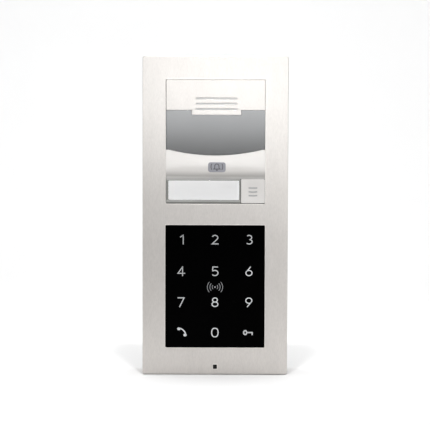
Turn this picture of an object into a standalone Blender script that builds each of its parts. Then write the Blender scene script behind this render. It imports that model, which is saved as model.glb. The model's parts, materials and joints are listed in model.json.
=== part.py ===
"""Surface-mounted door intercom panel: a metal faceplate over two modules in a wall box.

Sizes are in millimetres and are turned into metres where a shape is made. A place is given as
x (to the viewer's right), depth (from the wall face towards the viewer) and z (up, from the
panel's centre). World -Y is the front, so depth D lies at y = -D and the wall face is y = 0.
"""

import math

import bmesh
import bpy
from mathutils import Matrix, Vector

MM = 0.001
GAP = 0.3                     # clearance between neighbouring pieces

# Panel
PANEL_WIDTH = 107.0
PANEL_HEIGHT = 234.0
PANEL_DEPTH = 28.0
FACE_THICKNESS = 2.4
SKIRT_THICKNESS = 2.0
SKIRT_BACK = 2.0              # depth where the faceplate's skirt ends, in front of the wall

# Module bays
OPENING_WIDTH = 73.2
OPENING_HEIGHT = 91.0
UPPER_CENTRE = 54.6
LOWER_CENTRE = -51.8
OPENING_CORNER = 0.8
MODULE_GAP = 0.35             # between an opening and the front pieces in it

# Module cases
CASE_WIDTH = 72.6
CASE_HEIGHT = 90.4
CASE_WALL = 1.6
CASE_BACK = 12.0
CASE_FRONT = 24.2
CASE_FRONT_WALL = 1.8
FLANGE_WIDTH = 86.4
FLANGE_HEIGHT = 98.4
FLANGE_BACK = 21.4
COVER_BACK = 10.2
COVER_FRONT = 11.7
PIECE_BACK = CASE_FRONT + GAP  # the front pieces stand on the case from here
PIECE_FRONT = 27.7

# Wall box
BOX_FLOOR = 3.0
BOX_WALL = 1.8
BOX_RIM = 19.5
LIP_FRONT = 1.7
POST_RADIUS = 3.2
POST_FRONT = 21.0
MODULE_SCREW_X = 39.8
MODULE_SCREW_Z = 38.0
CABLE_ENTRY = (12.0, 66.0)
CABLE_ENTRY_RADIUS = 10.0
WALL_SCREWS = ((-30.0, 108.0), (30.0, 108.0), (-30.0, -106.5), (30.0, -106.5))
GASKET_OUTER = (98.0, 225.0)
GASKET_INNER = (92.0, 219.0)
FRAME_SCREW_X = 40.0
FRAME_SCREW_DEPTH = 11.0
TAMPER_X = (44.3, 48.8)
TAMPER_Z = (-3.0, 5.0)
TAMPER_BACK = 19.0

# Microphone
MIC_Z = -111.2
MIC_HOLE = (3.0, 3.3)

# Front of the upper unit
SPEAKER_COVER_BOTTOM = 78.0
SPEAKER_TAB_BOTTOM = 74.3
SPEAKER_TAB_WIDTH = 36.2
SPEAKER_SHIFT = 0.8
SLOT_SIZE = (30.5, 1.3)
SLOT_ROWS = (86.6, 82.7, 78.7)
SPEAKER_Z = 81.0
WINDOW_CORNER_Z = 48.9
WINDOW_ARC_Z = 44.7
WINDOW_ARC_HALF = 34.0
CAMERA_Z = 57.0
CHIN_BOTTOM = 27.45
BADGE_SIZE = (12.9, 7.35)
BADGE_X = 1.1
BADGE_Z = 35.95
TRAY_X = (-36.25, 18.7)
TRAY_Z = (9.4, 27.1)
NAME_WINDOW_X = (-34.35, 17.7)
NAME_WINDOW_Z = (12.1, 25.65)
BUTTON_X = (19.1, 36.25)
BUTTON_Z = (9.6, 27.1)
BUTTON_FRONT = 27.9
BUTTON_BACK = 25.7
STEM_BACK = 20.3

# Boards, and what stands on them
BOARD_BACK = 13.8
BOARD_FRONT = 15.4
LED_X = 20.0
JACK_X = (-28.0, -12.0)
JACK_Z = (36.0, 54.0)
TERMINAL_X = (10.0, 30.0)

ROUND_SIDES = 24
SMALL_SIDES = 16

MATERIALS = {
    "brushed_nickel": ((0.53, 0.51, 0.49), 0.34, 1.0),
    "satin_silver": ((0.62, 0.62, 0.61), 0.30, 1.0),
    "black_glass": ((0.006, 0.006, 0.007), 0.06, 0.0),
    "badge_grey": ((0.30, 0.30, 0.32), 0.35, 0.6),
    "dark_plastic": ((0.035, 0.036, 0.038), 0.5, 0.0),
    "grey_plastic": ((0.22, 0.22, 0.23), 0.45, 0.0),
    "button_silver": ((0.74, 0.75, 0.75), 0.32, 0.7),
    "card_white": ((0.86, 0.88, 0.90), 0.7, 0.0),
    "socket_white": ((0.82, 0.82, 0.80), 0.5, 0.0),
    "clear_plastic": ((0.90, 0.92, 0.94), 0.08, 0.0),
    "diffuser_white": ((0.85, 0.85, 0.85), 0.45, 0.0),
    "rubber_black": ((0.02, 0.02, 0.02), 0.75, 0.0),
    "foam_black": ((0.03, 0.03, 0.03), 0.95, 0.0),
    "steel": ((0.60, 0.60, 0.60), 0.3, 1.0),
    "board_green": ((0.02, 0.16, 0.07), 0.45, 0.0),
    "terminal_green": ((0.05, 0.35, 0.14), 0.5, 0.0),
    "coil_copper": ((0.72, 0.36, 0.16), 0.35, 1.0),
    "paper_black": ((0.04, 0.04, 0.045), 0.8, 0.0),
    "led_clear": ((0.35, 0.25, 0.32), 0.1, 0.0),
    "cable_grey": ((0.30, 0.30, 0.31), 0.6, 0.0),
}


def make_collection(name):
    collection = bpy.data.collections.new(name)
    bpy.context.scene.collection.children.link(collection)
    return collection


def material(name):
    """The named Principled material, made on its first use."""
    found = bpy.data.materials.get(name)
    if found:
        return found
    color, roughness, metallic = MATERIALS[name]
    found = bpy.data.materials.new(name)
    found.use_nodes = True
    shader = found.node_tree.nodes["Principled BSDF"]
    shader.inputs["Base Color"].default_value = (*color, 1.0)
    shader.inputs["Roughness"].default_value = roughness
    shader.inputs["Metallic"].default_value = metallic
    found.diffuse_color = (*color, 1.0)
    return found


def point(x, depth, z):
    """World position in metres of a place given in millimetres."""
    return Vector((x, -depth, z)) * MM


def finish(name, mesh, finish_name, location, smooth_angle=None):
    """Puts a mesh in the scene: a part where it has a finish, or else a cutter."""
    piece = bpy.data.objects.new(name, mesh)
    piece.location = location
    if finish_name:
        PARTS.objects.link(piece)
        mesh.materials.append(material(finish_name))
    else:
        CUTTERS.objects.link(piece)
        piece.hide_render = True
        piece.display_type = "WIRE"
    if smooth_angle:
        mesh.shade_smooth()
        mesh.set_sharp_from_angle(angle=math.radians(smooth_angle))
    return piece


def mesh_from(name, shape):
    mesh = bpy.data.meshes.new(name)
    shape.to_mesh(mesh)
    shape.free()
    return mesh


def block(name, finish_name, x, depth, z, corner=0.0, steps=3, edge=0.0):
    """A box between the given limits, with round corners along its depth and a front chamfer."""
    low = point(x[0], depth[1], z[0])
    high = point(x[1], depth[0], z[1])
    shape = bmesh.new()
    bmesh.ops.create_cube(shape, size=1.0)
    bmesh.ops.scale(shape, vec=high - low, verts=shape.verts)
    if corner:
        along_depth = [e for e in shape.edges if abs((e.verts[0].co - e.verts[1].co).y) > MM * 0.01]
        bmesh.ops.bevel(shape, geom=along_depth, offset=corner * MM, segments=steps,
                        profile=0.5, affect="EDGES")
    if edge:
        front = min(v.co.y for v in shape.verts)
        rim = [e for e in shape.edges if all(abs(v.co.y - front) < MM * 0.01 for v in e.verts)]
        bmesh.ops.bevel(shape, geom=rim, offset=edge * MM, segments=2, profile=0.5, affect="EDGES")
    return finish(name, mesh_from(name, shape), finish_name, (low + high) / 2,
                  40 if corner or edge else None)


def rod(name, finish_name, centre, depth, radius, sides=ROUND_SIDES, tip_radius=None):
    """A cylinder along the depth, or a cone where its front has another radius."""
    shape = bmesh.new()
    length = (depth[1] - depth[0]) * MM
    bmesh.ops.create_cone(shape, cap_ends=True, segments=sides, radius1=radius * MM,
                          radius2=(tip_radius or radius) * MM, depth=length)
    bmesh.ops.rotate(shape, matrix=Matrix.Rotation(math.radians(90), 3, "X"), verts=shape.verts)
    middle = point(centre[0], (depth[0] + depth[1]) / 2, centre[1])
    return finish(name, mesh_from(name, shape), finish_name, middle, 40)


def upright_rod(name, finish_name, x, depth, z, radius, sides=SMALL_SIDES):
    """A cylinder along Z between two heights."""
    shape = bmesh.new()
    bmesh.ops.create_cone(shape, cap_ends=True, segments=sides, radius1=radius * MM,
                          radius2=radius * MM, depth=(z[1] - z[0]) * MM)
    return finish(name, mesh_from(name, shape), finish_name, point(x, depth, (z[0] + z[1]) / 2), 40)


def turned(name, finish_name, centre, profile, sides=ROUND_SIDES):
    """A body turned about the depth axis; the profile lists (radius, depth), front to back."""
    shape = bmesh.new()
    verts = [shape.verts.new((radius * MM, 0.0, depth * MM)) for radius, depth in profile]
    for first, second in zip(verts, verts[1:]):
        shape.edges.new((first, second))
    piece = finish(name, mesh_from(name, shape), finish_name, point(centre[0], 0.0, centre[1]))
    piece.rotation_euler = (math.radians(90), 0.0, 0.0)
    screw = piece.modifiers.new("Turn", "SCREW")
    screw.axis = "Z"
    screw.steps = sides
    screw.render_steps = sides
    screw.use_merge_vertices = True
    screw.merge_threshold = 0.00001
    screw.use_smooth_shade = True
    return piece


def to_mesh(curve_object, finish_name, smooth_angle=None):
    """Turns a curve object into a welded mesh object of the same name and place."""
    name = curve_object.name
    bpy.context.view_layer.update()
    evaluated = curve_object.evaluated_get(bpy.context.evaluated_depsgraph_get())
    mesh = bpy.data.meshes.new_from_object(evaluated)
    mesh.transform(curve_object.matrix_world)
    bpy.data.objects.remove(curve_object)
    shape = bmesh.new()
    shape.from_mesh(mesh)
    bmesh.ops.remove_doubles(shape, verts=shape.verts, dist=0.000001)
    shape.to_mesh(mesh)
    shape.free()
    mesh.materials.clear()
    mesh.name = name
    return finish(name, mesh, finish_name, (0.0, 0.0, 0.0), smooth_angle)


def outline(name, finish_name, points, depth):
    """A flat outline of (x, z) points, filled and extruded along the depth."""
    curve = bpy.data.curves.new(name, "CURVE")
    curve.dimensions = "2D"
    curve.fill_mode = "BOTH"
    curve.extrude = (depth[1] - depth[0]) * MM / 2
    spline = curve.splines.new("POLY")
    spline.points.add(len(points) - 1)
    for spot, (x, z) in zip(spline.points, points):
        spot.co = (x * MM, z * MM, 0.0, 1.0)
    spline.use_cyclic_u = True
    drawn = bpy.data.objects.new(name, curve)
    drawn.rotation_euler = (math.radians(90), 0.0, 0.0)
    drawn.location = point(0.0, (depth[0] + depth[1]) / 2, 0.0)
    bpy.context.scene.collection.objects.link(drawn)
    return to_mesh(drawn, finish_name)


def wire(name, finish_name, points, radius, resolution=2):
    """A round wire through (x, depth, z) points, with filled ends."""
    curve = bpy.data.curves.new(name, "CURVE")
    curve.dimensions = "3D"
    curve.bevel_depth = radius * MM
    curve.bevel_resolution = resolution
    curve.use_fill_caps = True
    spline = curve.splines.new("POLY")
    spline.points.add(len(points) - 1)
    for spot, place in zip(spline.points, points):
        spot.co = (*point(*place), 1.0)
    drawn = bpy.data.objects.new(name, curve)
    bpy.context.scene.collection.objects.link(drawn)
    return to_mesh(drawn, finish_name, 40)


def boolean(piece, other, operation):
    step = piece.modifiers.new(operation.title(), "BOOLEAN")
    step.operation = operation
    step.solver = "EXACT"
    step.object = other


def cut(piece, *cutters):
    for cutter in cutters:
        boolean(piece, cutter, "DIFFERENCE")


def join(piece, *others):
    for other in others:
        boolean(piece, other, "UNION")


def centred(size, centre=0.0):
    return (centre - size / 2, centre + size / 2)


def smooth_route(knots, per_span):
    """Points on a Catmull-Rom curve through the knots."""
    ends = [2 * knots[0] - knots[1], *knots, 2 * knots[-1] - knots[-2]]
    route = []
    for before, first, second, after in zip(ends, ends[1:], ends[2:], ends[3:]):
        for step in range(per_span):
            t = step / per_span
            bend = (2 * before - 5 * first + 4 * second - after) * t ** 2
            twist = (3 * first - before - 3 * second + after) * t ** 3
            route.append((2 * first + (second - before) * t + bend + twist) / 2)
    route.append(knots[-1])
    return route


# Frame and wall box


def make_faceplate():
    plate = block("faceplate", "brushed_nickel", centred(PANEL_WIDTH), (SKIRT_BACK, PANEL_DEPTH),
                  centred(PANEL_HEIGHT), corner=1.4, edge=0.5)
    hollow_width = PANEL_WIDTH - 2 * SKIRT_THICKNESS
    hollow_height = PANEL_HEIGHT - 2 * SKIRT_THICKNESS
    cut(plate, block("faceplate_hollow", None, centred(hollow_width),
                     (SKIRT_BACK - 1, PANEL_DEPTH - FACE_THICKNESS), centred(hollow_height)))
    for name, centre in (("upper", UPPER_CENTRE), ("lower", LOWER_CENTRE)):
        cut(plate, block(f"{name}_opening", None, centred(OPENING_WIDTH),
                         (PANEL_DEPTH - FACE_THICKNESS - 1, PANEL_DEPTH + 1),
                         centred(OPENING_HEIGHT, centre), corner=OPENING_CORNER))
    cut(plate, block("mic_hole", None, centred(MIC_HOLE[0]), (PANEL_DEPTH - 4, PANEL_DEPTH + 1),
                     centred(MIC_HOLE[1], MIC_Z), corner=0.6, steps=2))
    bottom = -PANEL_HEIGHT / 2
    for side, x in (("left", -FRAME_SCREW_X), ("right", FRAME_SCREW_X)):
        cut(plate,
            upright_rod(f"skirt_hole_{side}", None, x, FRAME_SCREW_DEPTH, (bottom - 1, bottom + 3), 1.6),
            upright_rod(f"skirt_sink_{side}", None, x, FRAME_SCREW_DEPTH, (bottom - 1, bottom + 1.2), 2.7))


def make_frame_screws():
    """The two screws that go up through the faceplate's bottom edge into the wall box."""
    bottom = -PANEL_HEIGHT / 2
    for side, x in (("left", -FRAME_SCREW_X), ("right", FRAME_SCREW_X)):
        screw = upright_rod(f"frame_screw_{side}", "steel", x, FRAME_SCREW_DEPTH,
                            (bottom + 0.1, bottom + 0.9), 2.4)
        shank = upright_rod(f"frame_shank_{side}", None, x, FRAME_SCREW_DEPTH,
                            (bottom + 0.5, bottom + 8.0), 1.3)
        socket = upright_rod(f"frame_socket_{side}", None, x, FRAME_SCREW_DEPTH,
                             (bottom - 1, bottom + 1.2), 1.0, sides=6)
        join(screw, shank)
        cut(screw, socket)


def module_screw_places(centre):
    return [(x, centre + z) for z in (MODULE_SCREW_Z, -MODULE_SCREW_Z)
            for x in (-MODULE_SCREW_X, MODULE_SCREW_X)]


def make_back_box():
    """Wall box: floor, side walls, screw posts, microphone ears and the tamper switch's pedestal."""
    outer_width = PANEL_WIDTH - 2 * SKIRT_THICKNESS - 2 * GAP
    outer_height = PANEL_HEIGHT - 2 * SKIRT_THICKNESS - 2 * GAP
    box = block("back_box", "dark_plastic", centred(outer_width), (0.0, BOX_RIM), centred(outer_height))
    join(box, block("box_lip", None, centred(PANEL_WIDTH - 1.4), (0.0, LIP_FRONT),
                    centred(PANEL_HEIGHT - 1.4), corner=1.0))
    cut(box, block("box_hollow", None, centred(outer_width - 2 * BOX_WALL), (BOX_FLOOR, BOX_RIM + 1),
                   centred(outer_height - 2 * BOX_WALL)))
    places = module_screw_places(UPPER_CENTRE) + module_screw_places(LOWER_CENTRE)
    for index, place in enumerate(places):
        join(box, rod(f"post_{index}", None, place, (BOX_FLOOR - 1, POST_FRONT), POST_RADIUS,
                      SMALL_SIDES))
        cut(box, rod(f"post_bore_{index}", None, place, (10.0, POST_FRONT + 1), 1.6, SMALL_SIDES))
    for side, x in (("left", (-3.6, -1.9)), ("right", (1.9, 3.6))):
        join(box, block(f"mic_ear_{side}", None, x, (BOX_FLOOR - 1, BOX_RIM - 0.1),
                        (-outer_height / 2 + 1, MIC_Z + 3.0)))
    join(box, block("tamper_pedestal", None, TAMPER_X, (BOX_FLOOR - 1, TAMPER_BACK - GAP), TAMPER_Z))
    cut(box, rod("cable_entry", None, CABLE_ENTRY, (-1.0, BOX_FLOOR + 1), CABLE_ENTRY_RADIUS))
    for index, (x, z) in enumerate(WALL_SCREWS):
        cut(box, rod(f"wall_screw_hole_{index}", None, (x, z), (-1.0, BOX_FLOOR + 1), 2.5, SMALL_SIDES))
    bottom = -outer_height / 2
    for side, x in (("left", -FRAME_SCREW_X), ("right", FRAME_SCREW_X)):
        cut(box, upright_rod(f"box_bore_{side}", None, x, FRAME_SCREW_DEPTH,
                             (bottom - 1, bottom + BOX_WALL + 1), 1.6))
    cut(box, ring("gasket_groove", None, GASKET_OUTER, GASKET_INNER, (-1.0, 1.5), widen=GAP))


def ring(name, finish_name, outer, inner, depth, widen=0.0, centre=0.0):
    """A flat rectangular ring, made of an outer block cut by an inner one."""
    frame = block(name, finish_name, centred(outer[0] + 2 * widen), depth,
                  centred(outer[1] + 2 * widen, centre))
    cut(frame, block(f"{name}_inside", None, centred(inner[0] - 2 * widen), (depth[0] - 1, depth[1] + 1),
                     centred(inner[1] - 2 * widen, centre)))
    return frame


def make_seals():
    ring("wall_gasket", "foam_black", GASKET_OUTER, GASKET_INNER, (0.1, 1.2))
    seal = block("faceplate_seal", "foam_black", centred(85.2), (CASE_FRONT + GAP, 25.3),
                 (-103.5, 104.0))
    for name, centre in (("upper", UPPER_CENTRE), ("lower", LOWER_CENTRE)):
        cut(seal, block(f"seal_{name}", None, centred(OPENING_WIDTH + 1.2), (20.0, 30.0),
                        centred(OPENING_HEIGHT + 1.2, centre)))


def make_cable_grommet():
    """Rubber ring that snaps into the floor's cable entry, with a flange inside the box."""
    profile = ((6.0, 4.5), (11.8, 4.5), (11.8, BOX_FLOOR + GAP), (CABLE_ENTRY_RADIUS - GAP, BOX_FLOOR + GAP),
               (CABLE_ENTRY_RADIUS - GAP, 0.4), (6.0, 0.4), (6.0, 4.5))
    turned("cable_grommet", "rubber_black", CABLE_ENTRY, profile)


# Module cases


def make_case(name, centre):
    """A module's case, open at the back, with a flange that is screwed to the wall box."""
    case = block(name, "dark_plastic", centred(CASE_WIDTH), (CASE_BACK, CASE_FRONT),
                 centred(CASE_HEIGHT, centre))
    join(case, block(f"{name}_flange", None, centred(FLANGE_WIDTH), (FLANGE_BACK, CASE_FRONT),
                     centred(FLANGE_HEIGHT, centre), corner=2.0, steps=2))
    cut(case, block(f"{name}_hollow", None, centred(CASE_WIDTH - 2 * CASE_WALL),
                    (CASE_BACK - 1, CASE_FRONT - CASE_FRONT_WALL),
                    centred(CASE_HEIGHT - 2 * CASE_WALL, centre)))
    for index, place in enumerate(module_screw_places(centre)):
        cut(case,
            rod(f"{name}_bore_{index}", None, place, (FLANGE_BACK - 1, CASE_FRONT + 1), 1.6, SMALL_SIDES),
            rod(f"{name}_sink_{index}", None, place, (22.6, CASE_FRONT + 1), 2.7, SMALL_SIDES))
    return case


def make_back_cover(name, centre):
    return block(name, "dark_plastic", centred(CASE_WIDTH), (COVER_BACK, COVER_FRONT),
                 centred(CASE_HEIGHT, centre), corner=1.0, steps=2)


def make_module_screws(prefix, centre):
    for index, place in enumerate(module_screw_places(centre), start=1):
        head = rod(f"{prefix}_screw_{index}", "steel", place, (22.9, 23.9), 2.4, SMALL_SIDES)
        join(head, rod(f"{prefix}_shank_{index}", None, place, (12.0, 23.2), 1.3, SMALL_SIDES))
        cut(head, rod(f"{prefix}_socket_{index}", None, place, (23.4, 25.0), 1.0, 6))


def make_board(name, centre):
    return block(name, "board_green", centred(66.0), (BOARD_BACK, BOARD_FRONT), centred(83.0, centre),
                 corner=1.5, steps=2)


# Upper unit


def make_main_case():
    case = make_case("main_housing", UPPER_CENTRE)
    stem_x, stem_z = button_centre()
    cut(case,
        block("sound_port", None, centred(32.0), (20.0, 26.0), (76.8, 88.4)),
        rod("camera_port", None, (0.0, CAMERA_Z), (20.0, 26.0), 7.6),
        rod("stem_port", None, (stem_x, stem_z), (20.0, 26.0), 3.5),
        block("card_light_port", None, (-30.0, 13.0), (20.0, 26.0), (14.0, 24.0)))
    for side, x in (("left", -LED_X), ("right", LED_X)):
        cut(case, rod(f"led_port_{side}", None, (x, CAMERA_Z), (20.0, 26.0), 3.0, SMALL_SIDES))
    cover = make_back_cover("main_back_cover", UPPER_CENTRE)
    cut(cover,
        block("jack_port", None, (JACK_X[0] - 0.5, JACK_X[1] + 0.5), (8.0, 14.0),
              (JACK_Z[0] - 0.5, JACK_Z[1] + 0.5)),
        block("terminal_port", None, (TERMINAL_X[0] - 0.5, TERMINAL_X[1] + 0.5), (8.0, 14.0), (22.5, 46.5)),
        block("bus_port", None, (-24.0, 8.0), (8.0, 14.0), (16.5, 29.0)))


def button_centre():
    return (sum(BUTTON_X) / 2, sum(BUTTON_Z) / 2)


def make_speaker_cover():
    """Plate over the loudspeaker, with a tab that reaches down into the camera window."""
    edge = OPENING_WIDTH / 2 - MODULE_GAP
    top = UPPER_CENTRE + OPENING_HEIGHT / 2 - MODULE_GAP
    plate = block("speaker_cover", "brushed_nickel", (-edge, edge), (PIECE_BACK, PIECE_FRONT),
                  (SPEAKER_COVER_BOTTOM, top), corner=0.5, steps=2)
    join(plate, block("speaker_tab", None, centred(SPEAKER_TAB_WIDTH, SPEAKER_SHIFT), (PIECE_BACK, PIECE_FRONT),
                      (SPEAKER_TAB_BOTTOM, SPEAKER_COVER_BOTTOM + 2.0)))
    cut(plate, block("mesh_pocket", None, centred(34.0), (PIECE_BACK - 1, 25.6), (76.0, 89.0)))
    for index, z in enumerate(SLOT_ROWS):
        cut(plate, block(f"sound_slot_{index}", None, centred(SLOT_SIZE[0], SPEAKER_SHIFT), (24.0, 30.0),
                         centred(SLOT_SIZE[1], z), corner=0.5, steps=2))
    block("speaker_mesh", "foam_black", centred(33.2), (CASE_FRONT + GAP, 25.2), (76.4, 88.6))


def window_arc(drop, half_width, count=24):
    """Points of the arc that bounds the camera window below, from right to left."""
    sagitta = WINDOW_CORNER_Z - WINDOW_ARC_Z
    radius = (WINDOW_ARC_HALF ** 2 + sagitta ** 2) / (2 * sagitta)
    centre_z = WINDOW_ARC_Z + radius
    places = [half_width * (1 - 2 * step / count) for step in range(count + 1)]
    return [(x, centre_z - drop - math.sqrt(radius ** 2 - x ** 2)) for x in places]


def make_camera_window():
    edge = OPENING_WIDTH / 2 - MODULE_GAP
    tab_left = SPEAKER_SHIFT - SPEAKER_TAB_WIDTH / 2 - GAP
    tab_right = SPEAKER_SHIFT + SPEAKER_TAB_WIDTH / 2 + GAP
    top = SPEAKER_COVER_BOTTOM - GAP
    step = SPEAKER_TAB_BOTTOM - GAP
    corner = WINDOW_CORNER_Z
    points = [(-edge, corner), (-edge, top), (tab_left, top), (tab_left, step), (tab_right, step),
              (tab_right, top), (edge, top), (edge, corner), *window_arc(0.0, WINDOW_ARC_HALF)]
    outline("camera_window", "black_glass", points, (PIECE_BACK, PIECE_FRONT + 0.1))


def chin_profile():
    """Depth and height of the lower cover's convex face, from top to bottom."""
    top, bottom = 49.5, CHIN_BOTTOM
    count = 12
    rise = [step / count for step in range(count + 1)]
    return [(27.0 + 0.9 * math.sin(math.pi * min(t / 0.6, 1.0)) - 2.3 * max(t - 0.35, 0.0) ** 1.6,
             top + (bottom - top) * t) for t in rise]


def make_lower_cover():
    """Convex cover under the camera window; its upper edge follows the window's arc."""
    edge = OPENING_WIDTH / 2 - MODULE_GAP
    face = chin_profile()
    shape = bmesh.new()
    section = [(PIECE_BACK, CHIN_BOTTOM), *reversed(face), (PIECE_BACK, face[0][1])]
    ends = []
    for x in (-edge, edge):
        ends.append([shape.verts.new(point(x, depth, z)) for depth, z in section])
    shape.faces.new(ends[0])
    shape.faces.new(list(reversed(ends[1])))
    count = len(section)
    for index in range(count):
        following = (index + 1) % count
        shape.faces.new((ends[0][following], ends[0][index], ends[1][index], ends[1][following]))
    bmesh.ops.recalc_face_normals(shape, faces=shape.faces)
    cover = finish("lower_cover", mesh_from("lower_cover", shape), "satin_silver", (0.0, 0.0, 0.0), 30)
    above = [(-edge - 2, 60.0), (edge + 2, 60.0), (edge + 2, WINDOW_CORNER_Z - GAP),
             *window_arc(GAP, WINDOW_ARC_HALF), (-edge - 2, WINDOW_CORNER_Z - GAP)]
    cut(cover, outline("window_clearance", None, above, (20.0, 32.0)))
    cut(cover, block("badge_pocket", None, centred(BADGE_SIZE[0] + 2 * GAP, BADGE_X), (26.6, 32.0),
                     centred(BADGE_SIZE[1] + 2 * GAP, BADGE_Z), corner=2.1, steps=3))
    block("cover_badge", "badge_grey", centred(BADGE_SIZE[0], BADGE_X), (26.6 + GAP, 27.75),
          centred(BADGE_SIZE[1], BADGE_Z), corner=1.8, steps=4)


def make_nameplate():
    """Tray, light guide, card and the clear window that comes off to change the card."""
    tray = block("nameplate_tray", "grey_plastic", TRAY_X, (PIECE_BACK, 27.3), TRAY_Z, corner=0.4, steps=2)
    pocket_x = (NAME_WINDOW_X[0] - GAP, NAME_WINDOW_X[1] + GAP)
    pocket_z = (NAME_WINDOW_Z[0] - GAP, NAME_WINDOW_Z[1] + GAP)
    cut(tray, block("tray_pocket", None, pocket_x, (20.0, 30.0), pocket_z))
    block("nameplate_light_guide", "diffuser_white", NAME_WINDOW_X, (PIECE_BACK, 25.6), NAME_WINDOW_Z)
    block("name_card", "card_white", NAME_WINDOW_X, (25.9, 26.2), NAME_WINDOW_Z)
    block("nameplate_window", "clear_plastic", NAME_WINDOW_X, (26.5, 27.7), NAME_WINDOW_Z,
          corner=0.3, steps=2, edge=0.25)


def make_call_button():
    """Button cap with a stem and a collar, its spring, and the switch that it works."""
    centre = button_centre()
    cap = block("call_button", "button_silver", BUTTON_X, (BUTTON_BACK, BUTTON_FRONT), BUTTON_Z,
                corner=0.5, steps=2, edge=0.6)
    join(cap,
         rod("button_stem", None, centre, (STEM_BACK, BUTTON_BACK + 1), 3.0),
         rod("button_collar", None, centre, (STEM_BACK, STEM_BACK + 0.8), 5.4))
    switch = block("button_switch", "dark_plastic", centred(6.0, centre[0]), (BOARD_FRONT + GAP, 18.6),
                   centred(6.0, centre[1]))
    cut(switch, rod("switch_bore", None, centre, (16.3, 20.0), 1.5, SMALL_SIDES))
    rod("button_plunger", "rubber_black", centre, (17.4, STEM_BACK - GAP), 1.2, SMALL_SIDES)
    turns = 4
    steps = 14 * turns
    coil_back, coil_front = BOARD_FRONT + 0.6, STEM_BACK - 0.6
    coil = [(centre[0] + 4.9 * math.cos(2 * math.pi * turns * s / steps),
             coil_back + (coil_front - coil_back) * s / steps,
             centre[1] + 4.9 * math.sin(2 * math.pi * turns * s / steps)) for s in range(steps + 1)]
    wire("button_spring", "steel", coil, 0.25, resolution=1)


def make_loudspeaker():
    place = (0.0, SPEAKER_Z)
    turned("speaker_basket", "steel", place,
           ((12.0, 22.0), (15.6, 22.0), (15.6, 20.8), (9.6, 17.9), (7.6, 17.9), (7.6, 18.7), (12.0, 20.8),
            (12.0, 22.0)))
    turned("speaker_cone", "paper_black", place,
           ((0.0, 20.4), (3.5, 20.4), (11.6, 22.0), (11.6, 21.4), (4.0, 19.2), (0.0, 19.2)))
    rod("speaker_magnet", "steel", place, (BOARD_FRONT + GAP, 17.6), 9.0)


def make_camera():
    place = (0.0, CAMERA_Z)
    block("camera_board", "board_green", centred(22.0), (BOARD_FRONT + GAP, 16.8), centred(16.0, CAMERA_Z))
    barrel = rod("camera_barrel", "dark_plastic", place, (17.1, 24.0), 6.5)
    cut(barrel, rod("barrel_bore", None, place, (21.5, 25.0), 4.5))
    rod("camera_lens", "black_glass", place, (21.8, 23.6), 4.2, tip_radius=3.2)
    for side, x in (("left", -LED_X), ("right", LED_X)):
        rod(f"infrared_led_{side}", "led_clear", (x, CAMERA_Z), (BOARD_FRONT + GAP, 24.0), 2.5, SMALL_SIDES)


def make_connections():
    jack = block("network_jack", "steel", JACK_X, (3.9, BOARD_BACK - GAP), JACK_Z)
    middle = sum(JACK_X) / 2
    cut(jack, block("jack_mouth", None, centred(11.8, middle), (5.0, 12.0), (JACK_Z[0] - 1, JACK_Z[0] + 12.5)))
    block("terminal_socket", "terminal_green", TERMINAL_X, (4.6, BOARD_BACK - GAP), (36.0, 46.0))
    plug = block("terminal_plug", "terminal_green", TERMINAL_X, (4.8, 12.8), (23.0, 36.0 - GAP))
    for index in range(4):
        x = TERMINAL_X[0] + 2.5 + 5.0 * index
        cut(plug,
            rod(f"clamp_screw_{index}", None, (x, 32.0), (3.0, 6.0), 1.6, 12),
            block(f"wire_entry_{index}", None, centred(2.6, x), (8.0, 11.0), (22.0, 29.0)))
    block("bus_socket_main", "socket_white", centred(12.0), (8.0, BOARD_BACK - GAP), (18.0, 26.0))
    block("bus_socket_keypad", "socket_white", centred(12.0), (8.0, BOARD_BACK - GAP), (-20.0, -12.0))
    ribbon = block("bus_cable", "cable_grey", centred(10.0), (5.2, 6.0), (-18.0, 24.0))
    join(ribbon,
         block("ribbon_leg_top", None, centred(10.0), (5.4, 7.7), (20.0, 24.0)),
         block("ribbon_leg_bottom", None, centred(10.0), (5.4, 7.7), (-18.0, -14.0)))
    block("microphone_plug", "socket_white", (-22.5, -16.5), (8.5, BOARD_BACK - GAP), (22.0, 28.0))
    switch = block("tamper_switch", "dark_plastic", TAMPER_X, (TAMPER_BACK, 24.2), TAMPER_Z)
    join(switch, rod("tamper_pin", None, (sum(TAMPER_X) / 2, 1.0), (23.0, 25.3), 1.0, 12))


def make_microphone():
    """Capsule in a rubber boot behind the faceplate's hole, and its lead to the upper unit."""
    boot = rod("microphone_boot", "rubber_black", (0.0, MIC_Z), (BOX_RIM + GAP, 25.2), 3.2)
    cut(boot,
        rod("boot_pocket", None, (0.0, MIC_Z), (BOX_RIM - 1, 23.1), 2.4, SMALL_SIDES),
        rod("boot_port", None, (0.0, MIC_Z), (22.0, 27.0), 0.9, 12))
    rod("microphone", "steel", (0.0, MIC_Z), (20.6, 22.8), 2.1, SMALL_SIDES)
    knots = [Vector(place) for place in (
        (0.0, 20.2, MIC_Z), (0.0, 15.0, MIC_Z), (0.0, 9.5, MIC_Z + 1.5), (-4.0, 6.4, MIC_Z + 9.0),
        (-16.0, 6.4, -90.0), (-19.5, 6.4, -60.0), (-19.5, 6.4, -20.0), (-19.5, 6.4, 6.0),
        (-19.5, 7.0, 14.0), (-19.5, 9.6, 18.5), (-19.5, 10.2, 21.7))]
    wire("microphone_lead", "rubber_black", smooth_route(knots, 5), 0.6, resolution=1)


# Keypad


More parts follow.
